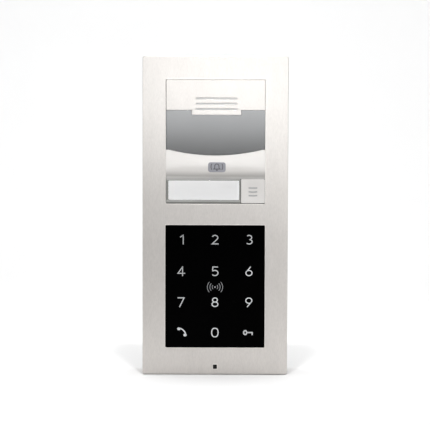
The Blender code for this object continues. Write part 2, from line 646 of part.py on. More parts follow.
def make_keypad():
    edge = OPENING_WIDTH / 2 - MODULE_GAP
    half = OPENING_HEIGHT / 2 - MODULE_GAP
    block("keypad_glass", "black_glass", (-edge, edge), (PIECE_BACK, PIECE_FRONT),
          (LOWER_CENTRE - half, LOWER_CENTRE + half), corner=0.5, steps=2, edge=0.3)
    case = make_case("keypad_housing", LOWER_CENTRE)
    cut(case, block("touch_port", None, centred(64.0), (20.0, 26.0), centred(82.0, LOWER_CENTRE)))
    cover = make_back_cover("keypad_back_cover", LOWER_CENTRE)
    cut(cover, block("keypad_bus_port", None, centred(15.0), (8.0, 14.0), (-21.5, -10.5)))
    block("keypad_touch_board", "board_green", centred(63.2), (23.2, CASE_FRONT), centred(81.2, LOWER_CENTRE))
    block("keypad_light_guide", "diffuser_white", centred(63.2), (21.2, 22.9), centred(81.2, LOWER_CENTRE))
    ring("reader_coil", "coil_copper", (58.0, 50.0), (50.0, 42.0), (19.8, 20.8), centre=LOWER_CENTRE)
    make_board("keypad_board", LOWER_CENTRE)


def build():
    make_faceplate()
    make_frame_screws()
    make_back_box()
    make_seals()
    make_cable_grommet()
    make_main_case()
    make_module_screws("main", UPPER_CENTRE)
    make_board("main_board", UPPER_CENTRE)
    make_speaker_cover()
    make_camera_window()
    make_lower_cover()
    make_nameplate()
    make_call_button()
    make_loudspeaker()
    make_camera()
    make_connections()
    make_microphone()
    make_keypad()
    make_module_screws("keypad", LOWER_CENTRE)


for leftover in list(bpy.data.objects):
    bpy.data.objects.remove(leftover)
PARTS = make_collection("door_intercom_panel")
CUTTERS = make_collection("cutters")
build()
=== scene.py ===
"""Looks of the door intercom panel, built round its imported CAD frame."""

import json
import math

import bmesh
import bpy
from mathutils import Matrix, Vector


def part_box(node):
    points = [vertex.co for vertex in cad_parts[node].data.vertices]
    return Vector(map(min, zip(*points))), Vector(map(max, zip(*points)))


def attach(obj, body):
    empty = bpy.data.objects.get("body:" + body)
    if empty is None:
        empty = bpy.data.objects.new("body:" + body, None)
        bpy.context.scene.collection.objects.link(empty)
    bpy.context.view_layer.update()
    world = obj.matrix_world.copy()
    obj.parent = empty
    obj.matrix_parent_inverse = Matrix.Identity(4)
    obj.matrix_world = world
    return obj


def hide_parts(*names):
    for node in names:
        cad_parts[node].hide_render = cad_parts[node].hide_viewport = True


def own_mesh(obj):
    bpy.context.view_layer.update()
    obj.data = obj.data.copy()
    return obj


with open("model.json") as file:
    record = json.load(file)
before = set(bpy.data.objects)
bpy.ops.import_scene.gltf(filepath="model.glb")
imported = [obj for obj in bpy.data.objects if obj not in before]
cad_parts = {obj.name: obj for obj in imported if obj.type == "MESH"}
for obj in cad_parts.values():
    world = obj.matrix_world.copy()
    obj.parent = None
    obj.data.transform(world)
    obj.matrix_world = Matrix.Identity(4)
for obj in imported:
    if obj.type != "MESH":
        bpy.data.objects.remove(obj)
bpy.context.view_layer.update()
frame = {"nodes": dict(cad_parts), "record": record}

MM = 0.001
RECORD = frame["record"]
SLOT_OF = {part["node"]: part["material_slot"] for part in RECORD["subparts"]}


# Geometry helpers. Outlines are lists of (x, z) in metres; depth runs towards the viewer, at -Y.


def front_rect(node):
    """A node's rectangle seen from the front, as (x low, x high, z low, z high)."""
    low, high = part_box(node)
    return low.x, high.x, low.z, high.z


def rect_middle(rect):
    """The middle of such a rectangle, as (x, z)."""
    return (rect[0] + rect[1]) / 2, (rect[2] + rect[3]) / 2


def grown(rect, margin):
    """A rectangle moved out on every side, or in where the margin is negative."""
    return rect[0] - margin, rect[1] + margin, rect[2] - margin, rect[3] + margin


def arc(centre, radii, start, end, steps):
    """Points on an ellipse from one angle to another, in degrees, anticlockwise where end > start."""
    points = []
    for step in range(steps + 1):
        angle = math.radians(start + (end - start) * step / steps)
        points.append((centre[0] + radii[0] * math.cos(angle), centre[1] + radii[1] * math.sin(angle)))
    return points


def rounded(points, radius, steps=6):
    """An outline with its corners rounded to a radius, which may differ from corner to corner."""
    radii = radius if isinstance(radius, (list, tuple)) else [radius] * len(points)
    result = []
    count = len(points)
    for index, corner in enumerate(points):
        here = Vector(corner)
        before = (Vector(points[index - 1]) - here).normalized()
        after = (Vector(points[(index + 1) % count]) - here).normalized()
        if not radii[index]:
            result.append(tuple(here))
            continue
        half = before.angle(after) / 2
        reach = radii[index] / math.tan(half)
        centre = here + (before + after).normalized() * (radii[index] / math.sin(half))
        first = here + before * reach - centre
        turn = first.angle_signed(here + after * reach - centre)
        for step in range(steps + 1):
            arm = first.copy()
            arm.rotate(Matrix.Rotation(-turn * step / steps, 2))
            result.append(tuple(centre + arm))
    return result


def rect_outline(x_low, x_high, z_low, z_high, radius=0.0, steps=6):
    corners = [(x_low, z_low), (x_high, z_low), (x_high, z_high), (x_low, z_high)]
    return rounded(corners, radius, steps) if radius else corners


def new_object(name, mesh):
    piece = bpy.data.objects.new(name, mesh)
    bpy.context.scene.collection.objects.link(piece)
    return piece


def smooth(piece, angle=35):
    """Smooth shading that leaves large flat faces flat."""
    piece.data.shade_smooth()
    piece.data.set_sharp_from_angle(angle=math.radians(angle))
    weighting = piece.modifiers.new("weighting", "WEIGHTED_NORMAL")
    weighting.mode = "FACE_AREA"
    weighting.keep_sharp = True
    weighting.weight = 100
    apply_modifiers(piece)
    return piece


def curve_mesh(name, curve):
    """The mesh that a curve draws."""
    drawn = bpy.data.objects.new(name, curve)
    bpy.context.scene.collection.objects.link(drawn)
    bpy.context.view_layer.update()
    mesh = bpy.data.meshes.new_from_object(drawn.evaluated_get(bpy.context.evaluated_depsgraph_get()))
    bpy.data.objects.remove(drawn)
    mesh.materials.clear()
    return mesh


def prism(name, outline, depth, holes=(), edge=0.0, edge_steps=3):
    """An outline with holes, extruded between two depths, its edges rounded by a small radius."""
    curve = bpy.data.curves.new(name, "CURVE")
    curve.dimensions = "2D"
    curve.fill_mode = "BOTH"
    curve.extrude = (depth[1] - depth[0]) / 2 - edge
    if edge:
        curve.bevel_depth = edge
        curve.bevel_resolution = edge_steps
        curve.offset = -edge
    for loop in (outline, *holes):
        spline = curve.splines.new("POLY")
        spline.points.add(len(loop) - 1)
        for spot, (x, z) in zip(spline.points, loop):
            spot.co = (x, z, 0.0, 1.0)
        spline.use_cyclic_u = True
    mesh = curve_mesh(name, curve)
    shape = bmesh.new()
    shape.from_mesh(mesh)
    bmesh.ops.remove_doubles(shape, verts=shape.verts, dist=1e-6)
    turn = Matrix.Rotation(math.radians(90), 4, "X")
    turn.translation = (0.0, -(depth[0] + depth[1]) / 2, 0.0)
    shape.transform(turn)
    bmesh.ops.recalc_face_normals(shape, faces=shape.faces)
    shape.to_mesh(mesh)
    shape.free()
    return smooth(new_object(name, mesh))


def rod_mesh(name, centre, depth, radius, sides=48):
    """A cylinder along the depth axis."""
    shape = bmesh.new()
    bmesh.ops.create_cone(shape, cap_ends=True, segments=sides, radius1=radius, radius2=radius,
                          depth=depth[1] - depth[0])
    bmesh.ops.rotate(shape, matrix=Matrix.Rotation(math.radians(90), 3, "X"), verts=shape.verts)
    bmesh.ops.translate(shape, verts=shape.verts,
                        vec=Vector((centre[0], -(depth[0] + depth[1]) / 2, centre[1])))
    mesh = bpy.data.meshes.new(name)
    shape.to_mesh(mesh)
    shape.free()
    return new_object(name, mesh)


def wire_mesh(name, path, radius):
    """A round wire through (x, y, z) points, with filled ends."""
    curve = bpy.data.curves.new(name, "CURVE")
    curve.dimensions = "3D"
    curve.bevel_depth = radius
    curve.bevel_resolution = 3
    curve.use_fill_caps = True
    spline = curve.splines.new("POLY")
    spline.points.add(len(path) - 1)
    for spot, place in zip(spline.points, path):
        spot.co = (*place, 1.0)
    spline.use_smooth = True
    return new_object(name, curve_mesh(name, curve))


def carve(piece, cutters, operation="DIFFERENCE"):
    """Applies a Boolean with each cutter, and removes the cutters."""
    for cutter in cutters:
        step = piece.modifiers.new("carve", "BOOLEAN")
        step.operation = operation
        step.solver = "EXACT"
        step.object = cutter
    apply_modifiers(piece)
    for cutter in cutters:
        bpy.data.objects.remove(cutter)
    return piece


def apply_modifiers(piece):
    """Replaces the mesh of a piece with what its modifiers make of it."""
    bpy.context.view_layer.update()
    mesh = bpy.data.meshes.new_from_object(piece.evaluated_get(bpy.context.evaluated_depsgraph_get()))
    piece.modifiers.clear()
    piece.data = mesh


def soften(piece, width, segments=3, angle=40):
    """Rounds every sharp edge of a piece."""
    bevel = piece.modifiers.new("soften", "BEVEL")
    bevel.width = width
    bevel.segments = segments
    bevel.limit_method = "ANGLE"
    bevel.angle_limit = math.radians(angle)
    bevel.harden_normals = True
    piece.data.shade_smooth()
    apply_modifiers(piece)
    return piece


def loft(name, sections, angle=35):
    """A closed body through equal sections, each a closed loop of points."""
    shape = bmesh.new()
    loops = [[shape.verts.new(place) for place in section] for section in sections]
    count = len(loops[0])
    for first, second in zip(loops, loops[1:]):
        for index in range(count):
            following = (index + 1) % count
            shape.faces.new((first[index], first[following], second[following], second[index]))
    shape.faces.new(loops[0])
    shape.faces.new(list(reversed(loops[-1])))
    bmesh.ops.recalc_face_normals(shape, faces=shape.faces)
    mesh = bpy.data.meshes.new(name)
    shape.to_mesh(mesh)
    shape.free()
    return smooth(new_object(name, mesh), angle)


def ribbon(shape, path, width, depth, closed=False):
    """Adds a flat band of a given width along a path of (x, z) points, between two depths."""
    count = len(path)
    edges = []
    for index, place in enumerate(path):
        here = Vector(place)
        before = Vector(path[index - 1]) if index or closed else None
        after = Vector(path[(index + 1) % count]) if index < count - 1 or closed else None
        into = (here - before).normalized() if before is not None else (after - here).normalized()
        out = (after - here).normalized() if after is not None else into
        along = (into + out).normalized()
        across = Vector((-along.y, along.x)) * (width / 2 / max(along.dot(into), 0.35))
        ring = []
        for level in depth:
            for sign in (1, -1):
                spot = here + across * sign
                ring.append(shape.verts.new((spot.x, -level, spot.y)))
        edges.append(ring)
    pairs = list(zip(edges, edges[1:]))
    if closed:
        pairs.append((edges[-1], edges[0]))
    around = (0, 1, 3, 2)
    for first, second in pairs:
        for index in range(4):
            a, b = around[index], around[(index + 1) % 4]
            shape.faces.new((first[a], first[b], second[b], second[a]))
    if not closed:
        shape.faces.new([edges[0][k] for k in around])
        shape.faces.new([edges[-1][k] for k in reversed(around)])


def disc(shape, centre, radii, depth, sides=28):
    """Adds a flat ellipse between two depths."""
    loops = []
    for level in depth:
        places = arc(centre, radii, 0, 360 - 360 / sides, sides - 1)
        loops.append([shape.verts.new((x, -level, z)) for x, z in places])
    for index in range(sides):
        following = (index + 1) % sides
        shape.faces.new((loops[0][index], loops[0][following], loops[1][following], loops[1][index]))
    shape.faces.new(loops[0])
    shape.faces.new(list(reversed(loops[1])))


def mark(name, draw):
    """A piece made of flat bands and discs, which draw() adds."""
    shape = bmesh.new()
    draw(shape)
    bmesh.ops.recalc_face_normals(shape, faces=shape.faces)
    mesh = bpy.data.meshes.new(name)
    shape.to_mesh(mesh)
    shape.free()
    return new_object(name, mesh)


# Materials


NOISE_LOW, NOISE_HIGH = 0.3, 0.7    # the range that noise textures mostly keep to
MIX_COLOR_A, MIX_COLOR_B, MIX_COLOR_RESULT = 6, 7, 2    # colour sockets of the mix node


class Look:
    """A Principled material and a few shorthands for its nodes."""

    def __init__(self, name, color, roughness, metallic=0.0, **sockets):
        self.material = bpy.data.materials.new(name)
        self.material.use_nodes = True
        self.nodes = self.material.node_tree.nodes
        self.links = self.material.node_tree.links
        self.shader = self.nodes["Principled BSDF"]
        self.color = color
        self.roughness = roughness
        self.shader.inputs["Base Color"].default_value = (*color, 1.0)
        self.shader.inputs["Roughness"].default_value = roughness
        self.shader.inputs["Metallic"].default_value = metallic
        for socket, value in sockets.items():
            self.shader.inputs[socket.replace("_", " ")].default_value = value
        self.place = self.nodes.new("ShaderNodeTexCoord").outputs["Object"]

    def noise(self, per_metre, detail=2.0, rough=0.5):
        """Noise in the range 0 to 1 with so many features a metre along X, Y and Z."""
        scale = self.nodes.new("ShaderNodeMapping")
        scale.inputs["Scale"].default_value = per_metre
        self.links.new(self.place, scale.inputs["Vector"])
        texture = self.nodes.new("ShaderNodeTexNoise")
        texture.inputs["Scale"].default_value = 1.0
        texture.inputs["Detail"].default_value = detail
        texture.inputs["Roughness"].default_value = rough
        self.links.new(scale.outputs["Vector"], texture.inputs["Vector"])
        return texture.outputs["Fac"]

    def blend(self, first, second, share=0.5):
        """Mix of two value outputs."""
        mix = self.nodes.new("ShaderNodeMix")
        mix.inputs["Factor"].default_value = share
        self.links.new(first, mix.inputs["A"])
        self.links.new(second, mix.inputs["B"])
        return mix.outputs["Result"]

    def ranged(self, value, low, high):
        """A noise value spread over a range."""
        spread = self.nodes.new("ShaderNodeMapRange")
        spread.inputs["From Min"].default_value = NOISE_LOW
        spread.inputs["From Max"].default_value = NOISE_HIGH
        spread.inputs["To Min"].default_value = low
        spread.inputs["To Max"].default_value = high
        self.links.new(value, spread.inputs["Value"])
        return spread.outputs["Result"]

    def tint(self, value, dark, light):
        """Base colour that runs between two shares of the material's colour."""
        factor = self.ranged(value, 0.0, 1.0)
        mix = self.nodes.new("ShaderNodeMix")
        mix.data_type = "RGBA"
        mix.inputs[MIX_COLOR_A].default_value = (*[c * dark for c in self.color], 1.0)
        mix.inputs[MIX_COLOR_B].default_value = (*[min(c * light, 1.0) for c in self.color], 1.0)
        self.links.new(factor, mix.inputs["Factor"])
        self.links.new(mix.outputs[MIX_COLOR_RESULT], self.shader.inputs["Base Color"])
        return self

    def rough(self, value, low, high):
        """Roughness that runs between two values."""
        self.links.new(self.ranged(value, low, high), self.shader.inputs["Roughness"])
        return self

    def bump(self, value, height, strength=1.0):
        """Bumps of a height in metres."""
        bump = self.nodes.new("ShaderNodeBump")
        bump.inputs["Strength"].default_value = strength
        bump.inputs["Distance"].default_value = height
        self.links.new(value, bump.inputs["Height"])
        self.links.new(bump.outputs["Normal"], self.shader.inputs["Normal"])
        return self


def brushed_nickel(name="brushed_nickel", highlight_gain=1.0):
    """Metal with fine upright strokes; the last argument scales its colour, above 1 for a painted highlight.
    """
    look = Look(name, (0.55 * highlight_gain, 0.524 * highlight_gain, 0.50 * highlight_gain), 0.28, 0.92)
    strokes = look.noise((1700, 1700, 450), 2.0, 0.5)
    clouds = look.noise((160, 160, 60), 2.0, 0.5)
    look.tint(look.blend(strokes, clouds, 0.3), 0.938, 1.062)
    look.rough(strokes, 0.275, 0.285)
    return look.bump(strokes, 0.000001, 0.15)


PAINTED_SHADE_LOW, PAINTED_SHADE_HIGH = 28.8 * MM, 34.5 * MM    # heights between which the cover's colour is painted darker, a painted shade where it curves under


def satin_silver():
    """Satin paint with a painted shade: its colour darkens towards the foot, where the cover curves under."""
    look = Look("satin_silver", (0.71, 0.687, 0.664), 0.34, 0.5)
    haze = look.noise((70, 70, 70), 1.0)
    look.rough(haze, 0.33, 0.35)
    # Painted shade: the colour falls towards 0.56 of itself near the cover's foot.
    height = look.nodes.new("ShaderNodeSeparateXYZ")
    look.links.new(look.place, height.inputs["Vector"])
    painted_shade_ramp = look.nodes.new("ShaderNodeMapRange")
    painted_shade_ramp.interpolation_type = "SMOOTHSTEP"
    painted_shade_ramp.inputs["From Min"].default_value = PAINTED_SHADE_LOW
    painted_shade_ramp.inputs["From Max"].default_value = PAINTED_SHADE_HIGH
    painted_shade_ramp.inputs["To Min"].default_value = NOISE_LOW
    painted_shade_ramp.inputs["To Max"].default_value = NOISE_HIGH
    look.links.new(height.outputs["Z"], painted_shade_ramp.inputs["Value"])
    return look.tint(painted_shade_ramp.outputs["Result"], 0.56, 1.0)


def button_silver():
    look = Look("button_silver", (0.645, 0.625, 0.605), 0.36, 0.25)
    flakes = look.noise((2400, 2400, 2400), 2.0)
    scuffs = look.noise((260, 260, 260), 3.0)
    look.tint(flakes, 0.97, 1.03)
    look.rough(scuffs, 0.33, 0.39)
    return look.bump(flakes, 0.000006, 0.3)


def black_glass(name="black_glass", level=0.008, roughness=0.05, **sockets):
    look = Look(name, (0.0004, 0.0004, 0.00045), roughness, 0.0, Specular_IOR_Level=level, **sockets)
    smudge = look.noise((45, 45, 30), 4.0, 0.6)
    dust = look.noise((900, 900, 900), 1.0)
    look.tint(dust, 0.8, 1.25)
    return look.rough(smudge, roughness * 0.85, roughness * 1.2)


def plastic(name, color, roughness, grain=1400, height=0.00001):
    """Matt or glossy plastic with a fine grain, so many grains a metre."""
    look = Look(name, color, roughness)
    texture = look.noise((grain, grain, grain), 2.0)
    broad = look.noise((60, 60, 60), 2.0)
    look.tint(broad, 0.92, 1.08)
    look.rough(broad, roughness * 0.9, roughness * 1.1)
    return look.bump(texture, height, 0.5)


def metal(name, color, roughness, stretch=(900, 900, 900)):
    look = Look(name, color, roughness, 1.0)
    grain = look.noise(stretch, 2.0)
    look.tint(grain, 0.92, 1.06)
    return look.rough(grain, roughness * 0.85, roughness * 1.2)


def card_white():
    look = Look("card_white", (0.82, 0.82, 0.82), 0.75)
    fibre = look.noise((1800, 1800, 900), 4.0, 0.7)
    look.tint(fibre, 0.975, 1.02)
    look.shader.inputs["Emission Color"].default_value = (0.90, 0.90, 0.90, 1.0)
    look.shader.inputs["Emission Strength"].default_value = 0.36
    return look.bump(fibre, 0.00001, 0.4)


def clear_plastic():
    look = Look("clear_plastic", (0.985, 0.985, 0.985), 0.05, 0.0, Transmission_Weight=1.0, IOR=1.45)
    smudge = look.noise((120, 120, 60), 3.0)
    return look.rough(smudge, 0.03, 0.09)


def marking(name, color, glow):
    """Print that is lit from behind, with a faint glow of its own."""
    look = Look(name, color, 0.45)
    spread = look.noise((500, 500, 500), 2.0)
    look.tint(spread, 0.93, 1.05)
    look.shader.inputs["Emission Color"].default_value = (*color, 1.0)
    look.shader.inputs["Emission Strength"].default_value = glow
    return look


def board(name):
    look = Look(name, (0.015, 0.12, 0.05), 0.4)
    tracks = look.noise((220, 40, 900), 1.0)
    look.tint(tracks, 0.7, 1.4)
    return look.bump(tracks, 0.00003, 0.5)


LOOKS = {
    "brushed_nickel": brushed_nickel,
    "satin_silver": satin_silver,
    "button_silver": button_silver,
    "black_glass": black_glass,
    "card_white": card_white,
    "clear_plastic": clear_plastic,
    "badge_grey": lambda: metal("badge_grey", (0.285, 0.285, 0.308), 0.38, (2000, 2000, 2000)),
    "dark_plastic": lambda: plastic("dark_plastic", (0.035, 0.036, 0.038), 0.5),
    "grey_plastic": lambda: plastic("grey_plastic", (0.26, 0.265, 0.25), 0.42),
    "diffuser_white": lambda: plastic("diffuser_white", (0.82, 0.82, 0.82), 0.45),
    "socket_white": lambda: plastic("socket_white", (0.80, 0.80, 0.77), 0.45),
    "rubber_black": lambda: plastic("rubber_black", (0.02, 0.02, 0.021), 0.7, 2200, 0.00002),
    "foam_black": lambda: plastic("foam_black", (0.03, 0.03, 0.031), 0.92, 1600, 0.0002),
    "steel": lambda: metal("steel", (0.58, 0.58, 0.58), 0.28),
    "board_green": lambda: board("board_green"),
    "terminal_green": lambda: plastic("terminal_green", (0.04, 0.30, 0.12), 0.45),
    "coil_copper": lambda: metal("coil_copper", (0.72, 0.36, 0.16), 0.35, (3000, 200, 3000)),
    "paper_black": lambda: plastic("paper_black", (0.03, 0.03, 0.032), 0.85, 2600, 0.00005),
    "led_clear": lambda: plastic("led_clear", (0.30, 0.22, 0.28), 0.12, 300, 0.000002),
    "cable_grey": lambda: plastic("cable_grey", (0.24, 0.24, 0.25), 0.55),
}
made_looks = {}


def slot_look(slot):
    """The material of a slot, made on its first use."""
    if slot not in made_looks:
        made_looks[slot] = LOOKS[slot]().material
    return made_looks[slot]


def wear(piece, material):
    """Makes a material the only one of a piece."""
    piece.data.materials.clear()
    piece.data.materials.append(material)


def settle(piece, body, slot, replaced=(), material=None):
    """Gives a new piece its body and the slot's or its own look, and hides the nodes that it stands for."""
    wear(piece, material or slot_look(slot))
    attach(piece, body)
    if replaced:
        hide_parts(*replaced)
    return piece


def dress_frame():
    """Gives each CAD node the material of its slot."""
    for name, node in frame["nodes"].items():
        wear(node, slot_look(SLOT_OF[name]))


# Faceplate


plate_low, plate_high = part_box("faceplate")
FRONT = -plate_low.y
SKIRT_BACK = -plate_high.y
FACE_THICKNESS = 2.4 * MM
SKIRT_THICKNESS = 2.0 * MM
FRAME_CORNER = 1.4 * MM
FRAME_EDGE = 0.45 * MM
OPENING_MARGIN = 0.35 * MM
OPENING_CORNER = 0.9 * MM
UPPER_TRIM = 0.1 * MM    # metal that is left at the upper opening's left side
LOWER_TRIM = 0.3 * MM    # metal that is left at the top of the keypad's opening
LOWER_EASE = 0.1 * MM    # room that is given at its sides
# The trims round the openings and the hole are a brighter copy of the nickel: a painted highlight on their
# edges.
EDGE_WIDTH = 0.55 * MM
EDGE_DEPTH = 0.6 * MM
EDGE_PROUD = 0.03 * MM
SCREW_SINK_RADIUS = 2.7 * MM
SCREW_SINK_LENGTH = 8 * MM
MIC_CORNER = 0.5 * MM
MIC_X = (-1.4 * MM, 1.6 * MM)
MIC_HALF_HEIGHT = 1.65 * MM
MIC_SHADE_HALF = (1.7 * MM, 1.85 * MM)
MIC_DROP = 0.3 * MM


def opening_of(*nodes):
    """The faceplate's opening round the front pieces given."""
    rects = [front_rect(node) for node in nodes]
    around = (min(r[0] for r in rects), max(r[1] for r in rects),
              min(r[2] for r in rects), max(r[3] for r in rects))
    return grown(around, OPENING_MARGIN)


upper_left, *upper_rest = opening_of("speaker_cover", "nameplate_tray", "call_button")
UPPER = (upper_left + UPPER_TRIM, *upper_rest)
lower_left, lower_right, lower_foot, lower_top = opening_of("keypad_glass")
LOWER = (lower_left - LOWER_EASE, lower_right + LOWER_EASE, lower_foot, lower_top - LOWER_TRIM)


def screw_sink(x, depth, z):
    """Cutter for the hole that a frame screw sits in, upright at the faceplate's foot."""
    shape = bmesh.new()
    bmesh.ops.create_cone(shape, cap_ends=True, segments=40, radius1=SCREW_SINK_RADIUS,
                          radius2=SCREW_SINK_RADIUS, depth=SCREW_SINK_LENGTH)
    bmesh.ops.translate(shape, verts=shape.verts, vec=(x, -depth, z))
    mesh = bpy.data.meshes.new("bore")
    shape.to_mesh(mesh)
    shape.free()
    return new_object("bore", mesh)


def make_faceplate():
    """Frame with its skirt, two openings, the microphone hole, and a bright edge round each: trims of
    brighter nickel as a painted highlight, and a near-black plug behind the hole as painted shade.
    """
    rect = front_rect("faceplate")
    plate = prism("faceplate_shell", rect_outline(*rect, FRAME_CORNER, 8), (SKIRT_BACK, FRONT), (),
                  FRAME_EDGE, 4)
    hollow = prism("hollow", rect_outline(*grown(rect, -SKIRT_THICKNESS), 0.6 * MM),
                   (SKIRT_BACK - SKIRT_THICKNESS, FRONT - FACE_THICKNESS))
    through = (FRONT - 2 * FACE_THICKNESS, FRONT + FACE_THICKNESS)
    openings = [prism("opening", rect_outline(*opening, OPENING_CORNER), through)
                for opening in (UPPER, LOWER)]
    mic_low, mic_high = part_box("microphone_boot")
    mic_z = (mic_low.z + mic_high.z) / 2 - MIC_DROP
    mic_rect = (*MIC_X, mic_z - MIC_HALF_HEIGHT, mic_z + MIC_HALF_HEIGHT)
    hole = prism("hole", rect_outline(*mic_rect, MIC_CORNER), through)
    sinks = []
    for screw in ("frame_screw_left", "frame_screw_right"):
        low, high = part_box(screw)
        sinks.append(screw_sink((low.x + high.x) / 2, -(low.y + high.y) / 2, rect[2]))
    carve(plate, [hollow, *openings, hole, *sinks])
    soften(plate, 0.30 * MM, 3, 60)
    smooth(plate)
    settle(plate, "panel", "brushed_nickel", ["faceplate"])
    # Trims of brighter nickel round each opening and the hole: painted highlight.
    edges = (("upper_opening_edge", UPPER, OPENING_CORNER), ("keypad_opening_edge", LOWER, OPENING_CORNER),
             ("microphone_hole_edge", mic_rect, MIC_CORNER))
    for name, opening, corner in edges:
        outer = rect_outline(*grown(opening, EDGE_WIDTH), corner + EDGE_WIDTH)
        trim = prism(name, outer, (FRONT - EDGE_DEPTH, FRONT + EDGE_PROUD),
                     [rect_outline(*opening, corner)], 0.08 * MM)
        settle(trim, "panel", "brushed_nickel", material=EDGE_HIGHLIGHT_LOOK)
    # A near-black plug just behind the microphone hole: painted shade for the hole's dark inside.
    half_width, half_height = MIC_SHADE_HALF
    shade_outline = rect_outline(-half_width, half_width, mic_z - half_height, mic_z + half_height, MIC_CORNER)
    shade_back = FRONT - FACE_THICKNESS
    mesh = prism("microphone_hole_shade", shade_outline, (shade_back - 0.3 * MM, shade_back + 1.5 * MM))
    settle(mesh, "panel", "rubber_black", material=HOLE_SHADE_LOOK)


# Upper unit


PIECE_BACK = 24.5 * MM       # depth of the back of the unit's front pieces
PIECE_FRONT = 27.7 * MM      # depth of the front of its flat ones
REACH = 0.2 * MM             # how far they reach into the gaps round them
SEAM = 0.08 * MM
UNIT_SHIFT = 0.8 * MM        # the grille's middle, right of the panel's
TAB_HALF = 18.1 * MM         # half the width of the grille's tab, which hangs into the window
SLOT_HALF_LENGTH = 15.25 * MM
SLOT_HALF_HEIGHT = 0.7 * MM
SLOT_HEIGHTS = (86.2 * MM, 82.3 * MM, 78.35 * MM)
CLOTH_RECT = (-15.5 * MM, 17.1 * MM, 76.5 * MM, 88.5 * MM)
CLOTH_DEPTH = (24.0 * MM, 27.4 * MM)
TAB_LEFT, TAB_RIGHT = UNIT_SHIFT - TAB_HALF, UNIT_SHIFT + TAB_HALF


def make_speaker_cover():
    """Slotted metal cover of the loudspeaker, with pale cloth behind its slots, lightened as painted light
    against the slots' shade.
    """
    x_low, x_high, z_low, z_high = front_rect("speaker_cover")
    x_low, x_high, z_high = x_low + REACH / 2, x_high + REACH, z_high + 1.5 * REACH
    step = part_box("camera_window")[1].z + SEAM
    points = [(x_low, step), (TAB_LEFT, step), (TAB_LEFT, z_low), (TAB_RIGHT, z_low),
              (TAB_RIGHT, step), (x_high, step), (x_high, z_high), (x_low, z_high)]
    radii = [0.3 * MM] * 6 + [0.7 * MM] * 2
    slots = [rect_outline(UNIT_SHIFT - SLOT_HALF_LENGTH, UNIT_SHIFT + SLOT_HALF_LENGTH,
                          z - SLOT_HALF_HEIGHT, z + SLOT_HALF_HEIGHT, 0.55 * MM)
             for z in SLOT_HEIGHTS]
    cover = prism("speaker_grille_cover", rounded(points, radii, 4), (PIECE_BACK, PIECE_FRONT), slots,
                  0.16 * MM)
    settle(cover, "panel", "brushed_nickel", ["speaker_cover"])
    cloth = prism("speaker_slot_cloth", rect_outline(*CLOTH_RECT, 0.5 * MM), CLOTH_DEPTH)
    settle(cloth, "panel", "diffuser_white", material=CLOTH_LIT_LOOK)


WINDOW_FRONT = 27.75 * MM
WINDOW_CORNER = 48.9 * MM    # height of the window's lower corners
WINDOW_LOWEST = 44.7 * MM    # height of the arc's lowest place
ARC_HALF = 34.3 * MM         # half the width that the arc spans
ARC_STEPS = 72


def arc_height(x, drop=0.0):
    """Height of the arc under the camera window at a place across the panel."""
    sagitta = WINDOW_CORNER - WINDOW_LOWEST
    radius = (ARC_HALF ** 2 + sagitta ** 2) / (2 * sagitta)
    inside = min(abs(x), ARC_HALF)
    return WINDOW_LOWEST + radius - math.sqrt(radius ** 2 - inside ** 2) - drop


def make_camera_window():
    """Black window: notched above for the grille's tab, an arc below."""
    x_low, x_high, _, z_high = front_rect("camera_window")
    x_low, x_high = x_low + REACH / 2, x_high + REACH
    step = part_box("speaker_cover")[0].z - SEAM
    left, right = TAB_LEFT - SEAM, TAB_RIGHT + SEAM
    places = [x_high + (x_low - x_high) * index / ARC_STEPS for index in range(ARC_STEPS + 1)]
    below = [(x, arc_height(x)) for x in places]
    top = [(x_low, z_high), (left, z_high), (left, step), (right, step), (right, z_high), (x_high, z_high)]
    window = prism("camera_window_glass", [*below, *top], (PIECE_BACK, WINDOW_FRONT), (), 0.06 * MM)
    settle(window, "panel", "black_glass", ["camera_window"], WINDOW_LOOK)


COVER_FRONT = 27.8 * MM
COVER_GAP = 0.12 * MM        # seam under the camera window
LIP_HEIGHT = 2.0 * MM        # flat strip along the cover's foot
LIP_BEAD = 0.22 * MM         # how far the foot turns out again
CROWN = 0.35 * MM            # how far the cover falls back at its top
CROWN_SHARE = 0.6            # share of the height that the crown takes
COVER_ROWS, COVER_COLUMNS = 48, 64


def make_lower_cover():
    """Convex cover: nearly flat above, rolling back at its foot, most of all in the middle."""
    x_low, x_high, z_low, _ = front_rect("lower_cover")
    z_low -= REACH
    half = (x_high - x_low) / 2 + REACH
    sections = []
    for column in range(COVER_COLUMNS + 1):
        share = -math.cos(math.pi * column / COVER_COLUMNS)
        x = REACH / 2 + share * half
        top = arc_height(x, COVER_GAP)
        roll = (3.4 - 1.9 * share * share) * MM
        roll_start = 0.30 + 0.25 * share * share
        lip_start = 1.0 - LIP_HEIGHT / (top - z_low)
        face = []
        for row in range(COVER_ROWS + 1):
            t = row / COVER_ROWS
            z = top + (z_low - top) * t
            foot = max(min(t, lip_start) - roll_start, 0.0) / (1.0 - roll_start)
            bead = LIP_BEAD * max(t - lip_start, 0.0) / (1.0 - lip_start)
            crown = CROWN * max(1 - t / CROWN_SHARE, 0.0) ** 2
            depth = COVER_FRONT - crown - roll * foot ** 3.2 + bead
            face.append((x, -max(depth, PIECE_BACK + 0.2 * MM), z))
        sections.append([*face, (x, -PIECE_BACK, z_low), (x, -PIECE_BACK, top)])
    cover = loft("lower_cover_shell", sections, 50)
    settle(cover, "panel", "satin_silver", ["lower_cover"])


BELL_STROKE = 0.62 * MM
BELL_LEVEL = (27.9 * MM, 28.02 * MM)


